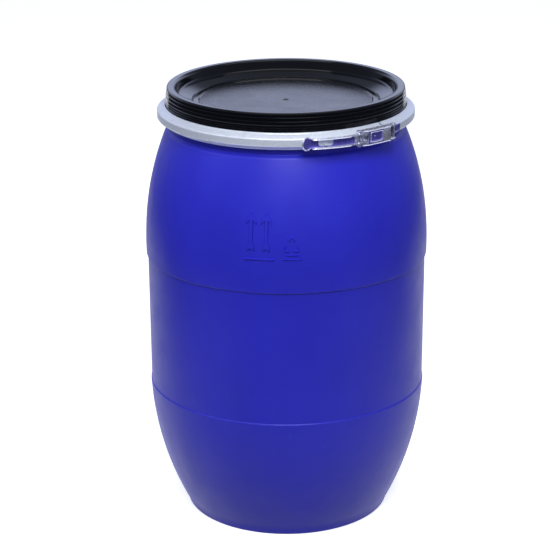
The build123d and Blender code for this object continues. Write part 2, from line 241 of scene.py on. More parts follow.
def refined_copy(node: str, bevel: float) -> Mesh:
    """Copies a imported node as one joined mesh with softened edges.

    Args:
        node: Name of the node.
        bevel: Width of the softened edges in metres.

    Returns:
        The refined mesh.
    """
    bm = bmesh.new()
    bm.from_mesh(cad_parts[node].data)
    bmesh.ops.remove_doubles(bm, verts=bm.verts, dist=WELD)
    bmesh.ops.dissolve_limit(
        bm, angle_limit=FLAT_ANGLE, use_dissolve_boundaries=False,
        verts=bm.verts, edges=bm.edges,
    )
    edges = [e for e in bm.edges if e.is_manifold and e.calc_face_angle(0.0) > COPY_SHARP_ANGLE]
    bmesh.ops.bevel(
        bm, geom=edges, offset=bevel, offset_type="OFFSET", affect="EDGES",
        segments=2, profile=0.5, material=-1, clamp_overlap=True,
    )
    return bm


# ---- finishes --------------------------------------------------------------------------


@dataclass(frozen=True)
class Pattern:
    """A noise pattern on the object's own coordinates.

    Args:
        scale: Repeats per metre.
        detail: Number of finer layers.
        roughness: Weight of the finer layers.
        stretch: How much closer it repeats along X, Y and Z.
        edges: Values of the noise where a mark starts and where it is whole.
    """

    scale: float
    detail: float = 3.0
    roughness: float = 0.5
    stretch: Triple = (1.0, 1.0, 1.0)
    edges: Pair = (0.3, 0.7)


COLOUR_CLOUDS = Pattern(5.0, 2.0)
FLOW_MARKS = Pattern(9.0, 4.0, 0.6, (1.0, 1.0, 0.16))
GLOSS_PATCHES = Pattern(26.0, 5.0, 0.62, edges=(0.3, 0.72))
WALL_WAVES = Pattern(16.0, 2.0)
SCRATCHES_UP = Pattern(70.0, 2.0, 0.5, (7.0, 7.0, 0.35), (0.69, 0.76))
SCRATCHES_ROUND = Pattern(60.0, 2.0, 0.5, (0.8, 0.8, 9.0), (0.71, 0.78))
SCRATCHED_AREAS = Pattern(7.0, edges=(0.52, 0.68))
RUBBING = Pattern(120.0, 4.0, 0.7, edges=(0.45, 0.75))
STEEL_GRAIN = Pattern(900.0, 3.0, 0.7)
STAINS = Pattern(38.0, 6.0, 0.65, edges=(0.58, 0.75))
BRUSHING = Pattern(500.0, 2.0, 0.5, (1.0, 1.0, 6.0))
ZINC_PITS = Pattern(420.0, 4.0, 0.65)
SHEET_DENTS = Pattern(60.0, 2.0)
RUBBER_BLOOM = Pattern(90.0, 5.0, 0.6, edges=(0.45, 0.75))
RUBBER_GRAIN = Pattern(700.0)


class Wiring:
    """Adds and joins the nodes of one node tree."""

    def __init__(self, tree: bpy.types.NodeTree) -> None:
        """Empties the tree."""
        self.tree = tree
        self.tree.nodes.clear()

    def fill(self, node: bpy.types.Node, inputs: Inputs) -> None:
        """Sets the inputs of a node.

        Args:
            node: The node.
            inputs: A constant or another node's socket for each input.
        """
        for key, value in inputs.items():
            if isinstance(value, Socket):
                self.tree.links.new(value, node.inputs[key])
            else:
                node.inputs[key].default_value = value

    def add(self, kind: str, inputs: Inputs, **options: str) -> bpy.types.Node:
        """Adds a node.

        Args:
            kind: Type of the node, without its prefix.
            inputs: A constant or another node's socket for each input.
            options: Options that decide which inputs it has, set first.

        Returns:
            The node.
        """
        node = self.tree.nodes.new(f"ShaderNode{kind}")
        for option, value in options.items():
            setattr(node, option, value)
        self.fill(node, inputs)
        return node

    def math(self, operation: str, first: object, second: object = 0.0) -> Socket:
        """Combines two values."""
        return self.add("Math", {0: first, 1: second}, operation=operation).outputs[0]

    def remap(
        self, value: Socket, low: float, high: float,
        to_low: float = 0.0, to_high: float = 1.0, ease: str = "LINEAR",
    ) -> Socket:
        """Stretches a value from one range to another and clamps it there.

        Args:
            value: The value.
            low: Start of its range.
            high: End of its range.
            to_low: Start of the new range.
            to_high: End of the new range.
            ease: Kind of interpolation.

        Returns:
            The new value.
        """
        ends = {"From Min": low, "From Max": high, "To Min": to_low, "To Max": to_high}
        return self.add("MapRange", {"Value": value, **ends}, interpolation_type=ease).outputs["Result"]


class Nodes(Wiring):
    """Wires the nodes of one material round its shader."""

    def __init__(self, name: str) -> None:
        """Starts a material with only its shader and output."""
        self.material = bpy.data.materials.new(name)
        self.material.use_nodes = True
        super().__init__(self.material.node_tree)
        self.shader = self.add("BsdfPrincipled", {})
        self.add("OutputMaterial", {"Surface": self.shader.outputs["BSDF"]})
        self.place = self.add("TexCoord", {}).outputs["Object"]

    def noise(self, pattern: Pattern) -> Socket:
        """Gives a noise pattern from 0 to 1.

        Args:
            pattern: The pattern's sizes.

        Returns:
            The pattern's factor.
        """
        place = self.place
        if pattern.stretch != Pattern.stretch:
            stretched = {"Vector": place, "Scale": pattern.stretch}
            place = self.add("Mapping", stretched).outputs["Vector"]
        sizes = {"Scale": pattern.scale, "Detail": pattern.detail, "Roughness": pattern.roughness}
        return self.add("TexNoise", {"Vector": place, **sizes}).outputs["Fac"]

    def marks(self, pattern: Pattern, amount: float = 1.0) -> Socket:
        """Gives marks from 0 to an amount, where a noise pattern is strong."""
        return self.remap(self.noise(pattern), *pattern.edges, 0.0, amount)

    def cells(self, scale: float) -> Socket:
        """Gives one random grey per crystal-like cell."""
        cell = self.add("TexVoronoi", {"Vector": self.place, "Scale": scale}).outputs["Color"]
        return self.add("SeparateColor", {"Color": cell}).outputs["Red"]

    def mix(self, factor: object, first: object, second: object) -> Socket:
        """Mixes two colours."""
        node = self.add("Mix", {"Factor": factor, "A": first, "B": second}, data_type="RGBA")
        return next(socket for socket in node.outputs if socket.type == "RGBA")

    def height(self) -> Socket:
        """Gives the height above the floor."""
        return self.add("SeparateXYZ", {"Vector": self.place}).outputs["Z"]

    def bump(self, height: Socket, strength: float, depth: float) -> None:
        """Adds relief to the shader's normal, over any relief that is already there.

        Args:
            height: The relief, from 0 to 1.
            strength: How much of it shows.
            depth: Its depth in metres.
        """
        relief: Inputs = {"Strength": strength, "Distance": depth, "Height": height}
        normal = self.shader.inputs["Normal"]
        if normal.links:
            relief["Normal"] = normal.links[0].from_socket
        self.fill(self.shader, {"Normal": self.add("Bump", relief).outputs["Normal"]})


@dataclass(frozen=True)
class MouldedPlastic:
    """Blow-moulded or injection-moulded plastic with flow marks and fine scuffs."""

    name: str
    colour: Colour
    deep: Colour
    scuff: Colour
    rough: float
    rough_spread: float
    specular: float
    grain: Pattern
    grain_depth: float
    scuff_amount: float
    wave: float
    worn_heights: tuple[float, ...] = ()
    wave_depth: float = 0.0006
    scuff_depth: float = 0.0001
    scuff_rough: float = 0.2
    worn_reach: float = 0.0022
    worn_amount: float = 0.55
    flow_edges: Pair = (0.75, 1.3)
    relief: float = 0.3

    def material(self) -> bpy.types.Material:
        """Builds the material.

        Returns:
            The material.
        """
        n = Nodes(self.name)
        flow = n.math("ADD", n.noise(COLOUR_CLOUDS), n.noise(FLOW_MARKS))
        tone = n.mix(n.remap(flow, *self.flow_edges), self.deep, self.colour)
        mask = self.scuff_mask(n)
        patches = n.marks(GLOSS_PATCHES, self.rough_spread)
        scuffed = n.math("MULTIPLY", mask, self.scuff_rough)
        n.fill(n.shader, {
            "Base Color": n.mix(mask, tone, self.scuff),
            "Roughness": n.math("ADD", n.math("ADD", patches, self.rough), scuffed),
            "Specular IOR Level": self.specular,
        })
        n.bump(n.noise(WALL_WAVES), self.wave, self.wave_depth)
        n.bump(n.noise(self.grain), self.relief, self.grain_depth)
        n.bump(mask, self.relief, self.scuff_depth)
        return n.material

    def scuff_mask(self, n: Nodes) -> Socket:
        """Gives fine scratches in a few patches, and wear on the raised lines.

        Args:
            n: The material's nodes.

        Returns:
            The mask, 1 where the plastic is scratched.
        """
        scratches = n.math("MAXIMUM", n.marks(SCRATCHES_UP), n.marks(SCRATCHES_ROUND))
        mask = n.math("MULTIPLY", scratches, n.marks(SCRATCHED_AREAS, self.scuff_amount))
        rub = n.marks(RUBBING, self.scuff_amount)
        height = n.height()
        for worn in self.worn_heights:
            distance = n.math("ABSOLUTE", n.math("SUBTRACT", height, worn))
            band = n.remap(distance, 0.0, self.worn_reach, self.worn_amount, 0.0)
            mask = n.math("MAXIMUM", mask, n.math("MULTIPLY", band, rub))
        return mask


@dataclass(frozen=True)
class MetalSheet:
    """Zinc-coated steel with crystal spangle, fine grain and handling marks."""

    name: str
    colour: Colour
    shade: Colour
    rough: float
    spangle_scale: float
    spangle: float
    grain_depth: float
    stain: Colour
    stain_amount: float = 0.4
    rough_spread: float = 0.10
    metallic: float = 1.0
    dent_depth: float = 0.0003
    stain_rough: float = 0.15
    tone_edges: Pair = (0.2, 0.8)
    grain_relief: float = 0.25
    dent_relief: float = 0.2

    def material(self) -> bpy.types.Material:
        """Builds the material.

        Returns:
            The material.
        """
        n = Nodes(self.name)
        crystal = n.math("MULTIPLY", n.cells(self.spangle_scale), self.spangle)
        fine = n.math("MULTIPLY", n.noise(STEEL_GRAIN), 1.0 - self.spangle)
        tone = n.remap(n.math("ADD", crystal, fine), *self.tone_edges)
        base = n.mix(tone, self.shade, self.colour)
        stain = n.marks(STAINS, self.stain_amount)
        brushed = n.marks(BRUSHING, self.rough_spread)
        dulled = n.math("MULTIPLY", stain, self.stain_rough)
        n.fill(n.shader, {
            "Base Color": n.mix(stain, base, self.stain),
            "Metallic": self.metallic,
            "Roughness": n.math("ADD", n.math("ADD", brushed, self.rough), dulled),
        })
        n.bump(n.noise(ZINC_PITS), self.grain_relief, self.grain_depth)
        n.bump(n.noise(SHEET_DENTS), self.dent_relief, self.dent_depth)
        return n.material


@dataclass(frozen=True)
class SealRubber:
    """Matt black rubber with a fine bloom."""

    name: str = "seal_rubber"
    colour: Colour = (0.02, 0.02, 0.021, 1.0)
    bloom: Colour = (0.07, 0.07, 0.072, 1.0)
    bloom_amount: float = 0.5
    rough: float = 0.7
    bloom_rough: float = 0.2
    relief: float = 0.3
    grain_depth: float = 0.0002

    def material(self) -> bpy.types.Material:
        """Builds the material.

        Returns:
            The material.
        """
        n = Nodes(self.name)
        bloom = n.marks(RUBBER_BLOOM, self.bloom_amount)
        n.fill(n.shader, {
            "Base Color": n.mix(bloom, self.colour, self.bloom),
            "Roughness": n.math("ADD", n.math("MULTIPLY", bloom, self.bloom_rough), self.rough),
        })
        n.bump(n.noise(RUBBER_GRAIN), self.relief, self.grain_depth)
        return n.material


class Finish(Enum):
    """The finishes that the drum is made in."""

    BARREL = MouldedPlastic(
        name="barrel_polyethylene",
        colour=(0.020, 0.022, 0.58, 1.0),
        deep=(0.016, 0.018, 0.51, 1.0),
        scuff=(0.16, 0.18, 0.78, 1.0),
        rough=0.40,
        rough_spread=0.09,
        specular=0.32,
        grain=Pattern(330.0, 3.0, 0.6),
        grain_depth=0.00012,
        scuff_amount=0.28,
        wave=0.35,
        worn_heights=(0.480, 0.2394, 0.0035),
    )
    LID = MouldedPlastic(
        name="lid_polyethylene",
        colour=(0.0105, 0.0118, 0.0145, 1.0),
        deep=(0.008, 0.009, 0.0115, 1.0),
        scuff=(0.11, 0.11, 0.125, 1.0),
        rough=0.07,
        rough_spread=0.05,
        specular=0.35,
        grain=Pattern(520.0, 3.0, 0.6),
        grain_depth=0.00002,
        scuff_amount=0.30,
        wave=0.05,
        worn_heights=(0.7790, 0.7535),
    )
    LID_PANEL = MouldedPlastic(
        name="lid_panel_satin",
        colour=(0.0095, 0.010, 0.013, 1.0),
        deep=(0.007, 0.0075, 0.010, 1.0),
        scuff=(0.11, 0.11, 0.125, 1.0),
        rough=0.24,
        rough_spread=0.06,
        specular=0.80,
        grain=Pattern(620.0, 3.0, 0.6),
        grain_depth=0.00002,
        scuff_amount=0.30,
        wave=0.04,
    )
    BAND = MetalSheet(
        name="galvanised_band",
        colour=(0.76, 0.81, 0.90, 1.0),
        shade=(0.63, 0.68, 0.77, 1.0),
        rough=0.46,
        spangle_scale=340.0,
        spangle=0.25,
        grain_depth=0.00012,
        stain=(0.42, 0.44, 0.48, 1.0),
        stain_amount=0.35,
        metallic=0.55,
    )
    LATCH = MetalSheet(
        name="bright_zinc",
        colour=(0.88, 0.89, 1.0, 1.0),
        shade=(0.70, 0.72, 0.92, 1.0),
        rough=0.19,
        spangle_scale=260.0,
        spangle=0.15,
        grain_depth=0.00008,
        stain=(0.40, 0.42, 0.56, 1.0),
        rough_spread=0.12,
        metallic=0.82,
    )
    # Painted reflection and painted shade: a blue-violet colour that stands for the blue barrel
    # mirrored in the latch's recessed web and dished tab, darkened where the recesses lie in shade.
    PASSIVATED = MetalSheet(
        name="painted_blue_reflection_shade",
        colour=(0.16, 0.14, 0.60, 1.0),
        shade=(0.07, 0.06, 0.34, 1.0),
        rough=0.28,
        spangle_scale=220.0,
        spangle=0.2,
        grain_depth=0.00010,
        stain=(0.5, 0.5, 0.8, 1.0),
        stain_amount=0.5,
        metallic=0.6,
    )
    PIN = MetalSheet(
        name="pin_zinc",
        colour=(0.74, 0.76, 0.80, 1.0),
        shade=(0.55, 0.57, 0.62, 1.0),
        rough=0.25,
        spangle_scale=400.0,
        spangle=0.1,
        grain_depth=0.00006,
        stain=(0.3, 0.3, 0.32, 1.0),
    )
    RUBBER = SealRubber()

    def material(self) -> bpy.types.Material:
        """Gives the finish's material, built once."""
        return bpy.data.materials.get(self.value.name) or self.value.material()


def finish_piece(
    bm: Mesh, name: str, body: str,
    finishes: Sequence[Finish], stands_for: Sequence[str] = (),
) -> bpy.types.Object:
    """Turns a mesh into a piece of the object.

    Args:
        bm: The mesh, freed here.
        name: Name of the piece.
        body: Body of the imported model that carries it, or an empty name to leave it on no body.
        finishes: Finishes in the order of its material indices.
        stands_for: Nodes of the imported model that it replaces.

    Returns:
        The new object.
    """
    mesh = bpy.data.meshes.new(name)
    bm.to_mesh(mesh)
    bm.free()
    for polygon in mesh.polygons:
        polygon.use_smooth = True
    mesh.set_sharp_from_angle(angle=SHARP_ANGLE)
    piece = bpy.data.objects.new(name, mesh)
    bpy.context.scene.collection.objects.link(piece)
    for finish in finishes:
        mesh.materials.append(finish.material())
    if stands_for:
        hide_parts(*stands_for)
    if body:
        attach(piece, body)
    log.info("piece %s: %d faces on %s", name, len(mesh.polygons), body or "two bodies")
    return piece



# ---- barrel ----------------------------------------------------------------------------


@dataclass(frozen=True)
class Bulge:
    """A barrel bulge whose meridian is one large arc.

    Args:
        radius: Largest radius in millimetres.
        height: Height of that radius in millimetres.
        arc: Radius of the meridian arc in millimetres.
    """

    radius: float
    height: float
    arc: float = 540.0

    def at(self, height: float, inset: float = 0.0) -> float:
        """Gives the radius at a height, on a surface set in by inset."""
        return self.radius - self.arc + sqrt((self.arc - inset) ** 2 - (height - self.height) ** 2)

    def turns(
        self, start: float, end: float, inset: float = 0.0, spacing: float = 14.0
    ) -> list[Turn]:
        """Gives evenly spaced points of the meridian.

        Args:
            start: Height of the first point.
            end: Height of the last point.
            inset: How far the surface is set in.
            spacing: Largest distance in height between points.

        Returns:
            The points.
        """
        count = max(2, ceil(abs(end - start) / spacing))
        heights = [start + (end - start) * k / count for k in range(count + 1)]
        return [Turn(self.at(z, inset), z) for z in heights]


@dataclass
class Barrel:
    """Blow-moulded barrel and its mould seams."""

    upper: Bulge = Bulge(250.5, 500.0)
    lower: Bulge = Bulge(248.2, 262.0)
    wall: float = 3.8
    base_wall: float = 4.4
    upper_line: float = 480.0
    lower_line: float = 239.4
    line_drop: float = 1.8
    panel_top: float = 247.4
    panel_low: float = 246.4
    chime_height: float = 7.0
    foot_outer: float = 178.5
    foot_inner: float = 160.0
    push_up_radius: float = 149.0
    push_up: float = 8.0
    shoulder: float = 703.0
    groove_radius: float = 205.8
    groove_low: float = 708.0
    bead_radius: float = 220.4
    bead_low: Pair = (717.89, 726.02)
    bead_top: float = 736.7
    neck_outer: float = 204.5
    neck_inner: float = 200.5
    neck_top: float = 771.0
    neck_foot: float = 712.0
    shoulder_inside: float = 698.0
    facets: int = 192
    seam_angles: Pair = (90.0, -90.0)
    seam_half: float = 0.7
    seam_height: float = 0.35
    seam_crest: float = 0.5
    chime_steps: int = 8
    line_round: float = 0.9
    line_gap: float = 3.0
    chime_gap: float = 1.0
    shoulder_gap: float = 4.0
    push_up_round: float = 6.0
    bead_round: float = 2.0
    bead_top_round: float = 1.5
    shoulder_round: float = 5.0
    neck_round: float = 1.3
    neck_foot_round: float = 0.8
    foot_round: float = 3.0
    inner_round: float = 8.0
    inner_line_round: float = 2.0
    inner_foot_rounds: Pair = (4.0, 9.0)
    inner_spacing: float = 24.0

    def outside(self) -> list[Turn]:
        """Gives the outer outline, from the base centre up to the neck's top.

        Returns:
            The corners.
        """
        return [
            Turn(0.0, self.push_up),
            Turn(self.push_up_radius, self.push_up, self.push_up_round),
            Turn(self.foot_inner, 0.0, self.foot_round),
            Turn(self.foot_outer, 0.0),
            *self.chime(),
            *self.lower.turns(self.chime_height + self.chime_gap, self.lower_line - self.line_gap),
            Turn(self.lower.at(self.lower_line), self.lower_line, self.line_round),
            Turn(self.panel_low, self.lower_line + self.line_drop, self.line_round),
            Turn(self.panel_top, self.upper_line - self.line_drop, self.line_round),
            Turn(self.upper.at(self.upper_line), self.upper_line, self.line_round),
            *self.upper.turns(self.upper_line + self.line_gap, self.shoulder - self.shoulder_gap),
            Turn(self.upper.at(self.shoulder), self.shoulder, self.shoulder_round),
            Turn(self.groove_radius, self.groove_low, self.bead_round),
            Turn(self.groove_radius, self.bead_low[0], self.bead_round),
            Turn(self.bead_radius, self.bead_low[1], self.bead_round),
            Turn(self.bead_radius, self.bead_top, self.bead_top_round),
            Turn(self.neck_outer, self.bead_top, self.neck_foot_round),
            Turn(self.neck_outer, self.neck_top, self.neck_round),
        ]

    def chime(self) -> list[Turn]:
        """Gives the rounding at the foot, tangent to the floor.

        Returns:
            Points of the rounding, without its start on the floor.
        """
        reach = self.lower.at(self.chime_height) - self.foot_outer
        radius = (reach ** 2 + self.chime_height ** 2) / (2 * self.chime_height)
        whole = asin(reach / radius)
        turns = [whole * k / self.chime_steps for k in range(1, self.chime_steps + 1)]
        return [Turn(self.foot_outer + radius * sin(a), radius * (1 - cos(a))) for a in turns]

    def inside(self) -> list[Turn]:
        """Gives the inner outline, from the neck's top down to the base centre.

        Returns:
            The corners.
        """
        chime = self.chime_height + 2 * self.wall
        top = self.shoulder_inside
        floor = self.push_up + self.base_wall
        return [
            Turn(self.neck_inner, self.neck_top, self.neck_round),
            Turn(self.neck_inner, self.neck_foot, self.inner_round),
            Turn(self.upper.at(top, self.wall), top, self.inner_round),
            *self.upper.turns(
                top - self.inner_round, self.upper_line + self.line_gap,
                self.wall, self.inner_spacing,
            ),
            Turn(self.panel_top - self.wall, self.upper_line - self.line_drop, self.inner_line_round),
            Turn(self.panel_low - self.wall, self.lower_line + self.line_drop, self.inner_line_round),
            *self.lower.turns(
                self.lower_line - self.line_gap, chime + self.line_gap,
                self.wall, self.inner_spacing,
            ),
            Turn(self.lower.at(chime, self.wall), chime, self.inner_foot_rounds[0]),
            Turn(self.foot_outer - self.wall, self.base_wall, self.inner_foot_rounds[1]),
            Turn(self.foot_inner + self.wall, self.base_wall, self.foot_round),
            Turn(self.push_up_radius, floor, self.push_up_round),
            Turn(0.0, floor),
        ]

    def surface(self, angle: float, height: float, lift: float = 0.0) -> Vector:
        """Gives a point of the upper bulge, in metres.

        Args:
            angle: Angle round the drum in degrees.
            height: Height in millimetres.
            lift: Distance outside the surface in millimetres.

        Returns:
            The point.
        """
        return polar(self.upper.at(height) + lift, angle, height) * MM

    def build_shell(self) -> None:
        """Builds the barrel itself."""
        bm = lathe(rounded(self.outside() + self.inside()), self.facets)
        finish_piece(bm, "barrel_shell", "drum", [Finish.BARREL], ["drum_body"])

    def build_seams(self) -> None:
        """Builds the fine mould seam under the base and up each side of the barrel."""
        outline = self.outside()
        stop = next(index for index, turn in enumerate(outline) if turn.height >= self.shoulder)
        path = rounded([Turn(turn.radius, turn.height) for turn in outline[:stop]])
        half = Vector((0.0, self.seam_half, 0.0)) * MM
        sunk = Vector((self.seam_half, 0.0, 0.0)) * MM
        proud = Vector((self.seam_height, 0.0, 0.0)) * MM
        crest = half * self.seam_crest
        for side, angle in zip(("right", "left"), self.seam_angles):
            bm = bmesh.new()
            rows = [
                only(chain(bm, [p + shift for p in path]), bmesh.types.BMEdge)
                for shift in (-sunk - half, proud - crest, proud + crest, half - sunk)
            ]
            for one, other in zip(rows, rows[1:] + rows[:1]):
                bmesh.ops.bridge_loops(bm, edges=one + other)
            bmesh.ops.holes_fill(bm, edges=bm.edges, sides=2 * len(rows))
            turn = about_axis(radians(angle - 90.0))
            bmesh.ops.rotate(bm, verts=bm.verts, cent=(0, 0, 0), matrix=turn)
            bmesh.ops.recalc_face_normals(bm, faces=bm.faces)
            finish_piece(bm, f"mould_seam_{side}", "drum", [Finish.BARREL])

    def build(self) -> None:
        """Builds and dresses every piece of the barrel."""
        self.build_shell()
        self.build_seams()


@dataclass
class HandlingMarks:
    """Raised handling marks: two upward arrows over a bar, and a plain loop of three bent bars."""

    barrel: Barrel
    arrow_angles: Pair = (-14.0, -7.9)
    arrow_top: float = 617.0
    arrow_foot: float = 552.5
    barb: float = 9.4
    barb_top: float = 604.0
    barb_low: float = 597.5
    shaft: float = 3.3
    tail: float = 6.4
    tail_slope: float = 5.5
    tail_height: float = 9.5
    notch: float = 4.0
    bar_angle: float = -10.7
    bar_height: float = 539.6
    bar_length: float = 50.4
    stroke: float = 3.4
    loop_angle: float = 1.9
    loop_height: float = 563.0
    loop_radius: float = 17.0
    loop_reach: float = 0.36
    dash_angle: float = 2.3
    dash_heights: Pair = (547.5, 540.0)
    dash_lengths: Pair = (22.0, 30.0)
    dash_stroke: float = 2.2
    sunk: float = 0.7
    rise: float = 0.15
    chamfer: float = 0.9
    chamfer_rise: float = 1.7
    grid: float = 5.0
    cut_weld: float = 1e-5
    bend: float = 1.3

    def arrow(self) -> Mesh:
        """Gives a flat upward arrow with swept barbs and a notched tail.

        Returns:
            The flat arrow.
        """
        tail_top = self.arrow_foot + self.tail_height
        half = [
            (0.0, self.arrow_top),
            (self.barb, self.barb_top),
            (self.barb, self.barb_low),
            (self.shaft, self.barb_low + self.barb - self.shaft),
            (self.shaft, tail_top + self.tail_slope),
            (self.tail, tail_top),
            (self.tail, self.arrow_foot),
            (0.0, self.arrow_foot + self.notch),
        ]
        mirrored = [(-x, z) for x, z in reversed(half[1:-1])]
        bm = bmesh.new()
        bm.faces.new([bm.verts.new((x, 0.0, z)) for x, z in half + mirrored])
        return bm

    def strip(self, path: Sequence[Pair], width: float) -> Mesh:
        """Gives a flat strip of constant width.

        Args:
            path: Points of (along, height) on the strip's middle.
            width: Width of the strip.

        Returns:
            The flat strip.
        """
        bm = bmesh.new()
        points = [Vector((x, 0.0, z)) for x, z in path]
        sides = []
        for sign in (1.0, -1.0):
            shifted = []
            for index, point in enumerate(points):
                before = points[max(index - 1, 0)]
                after = points[min(index + 1, len(points) - 1)]
                turned = (point - before).normalized() + (after - point).normalized()
                across = Vector((turned.z, 0.0, -turned.x)).normalized()
                shifted.append(point + across * (sign * width / 2))
            sides += only(chain(bm, shifted), bmesh.types.BMEdge)
        bmesh.ops.bridge_loops(bm, edges=sides)
        return bm

    def bent_bar(self, turn: float) -> Mesh:
        """Gives one corner of the loop as a bent strip.

        Args:
            turn: Turn of the corner round the loop's middle, in degrees.

        Returns:
            The flat strip.
        """
        corner = Vector((0.0, self.loop_radius))
        reach = self.loop_radius * sqrt(3.0) * self.loop_reach
        legs = [corner + Vector((sin(a), -cos(a))) * reach for a in (-pi / 6, pi / 6)]
        arc = corner_arc(corner, legs[0] - corner, legs[1] - corner, self.stroke * self.bend)
        spin = Matrix.Rotation(radians(turn), 2)
        path = [spin @ point for point in (legs[0], *arc, legs[1])]
        return self.strip([(p.x, p.y + self.loop_height) for p in path], self.stroke)

    def raise_mark(self, bm: Mesh, name: str, angle: float) -> None:
        """Cuts a flat mark into small faces, raises it and wraps it on the barrel.

        Args:
            bm: Flat mark in millimetres, X along the drum and Z up.
            name: Name of the piece.
            angle: Angle round the drum of the mark's middle.
        """
        for axis in (Vector((1, 0, 0)), Vector((0, 0, 1))):
            places = [v.co.dot(axis) for v in bm.verts]
            cut = min(places) + self.grid
            while cut < max(places):
                parts = bm.verts[:] + bm.edges[:] + bm.faces[:]
                bmesh.ops.bisect_plane(
                    bm, geom=parts, plane_co=axis * cut, plane_no=axis, dist=self.cut_weld
                )
                cut += self.grid
        raised = bmesh.ops.extrude_face_region(bm, geom=bm.faces[:])["geom"]
        tops = only(raised, bmesh.types.BMVert)
        caps = only(raised, bmesh.types.BMFace)
        bmesh.ops.translate(bm, verts=tops, vec=(0.0, -self.sunk - self.rise, 0.0))
        bmesh.ops.recalc_face_normals(bm, faces=bm.faces)
        bmesh.ops.inset_region(
            bm, faces=caps, thickness=self.chamfer, depth=self.chamfer_rise, use_even_offset=True
        )
        for vert in bm.verts:
            lift = -vert.co.y - self.sunk
            turn = angle + degrees(vert.co.x / self.barrel.upper.at(vert.co.z))
            vert.co = self.barrel.surface(turn, vert.co.z, lift)
        bmesh.ops.recalc_face_normals(bm, faces=bm.faces)
        finish_piece(bm, name, "drum", [Finish.BARREL])

    def build(self) -> None:
        """Builds and dresses every mark."""
        for side, angle in zip(("left", "right"), self.arrow_angles):
            self.raise_mark(self.arrow(), f"upward_arrow_{side}", angle)
        half = self.bar_length / 2
        bar = self.strip([(-half, self.bar_height), (half, self.bar_height)], self.stroke)
        self.raise_mark(bar, "arrow_bar", self.bar_angle)
        for number, turn in enumerate((0.0, 120.0, 240.0), 1):
            self.raise_mark(self.bent_bar(turn), f"loop_bar_{number}", self.loop_angle)
        for number, (height, length) in enumerate(zip(self.dash_heights, self.dash_lengths), 1):
            dash = self.strip([(-length / 2, height), (length / 2, height)], self.dash_stroke)
            self.raise_mark(dash, f"plain_dash_{number}", self.dash_angle)


# ---- lid -------------------------------------------------------------------------------


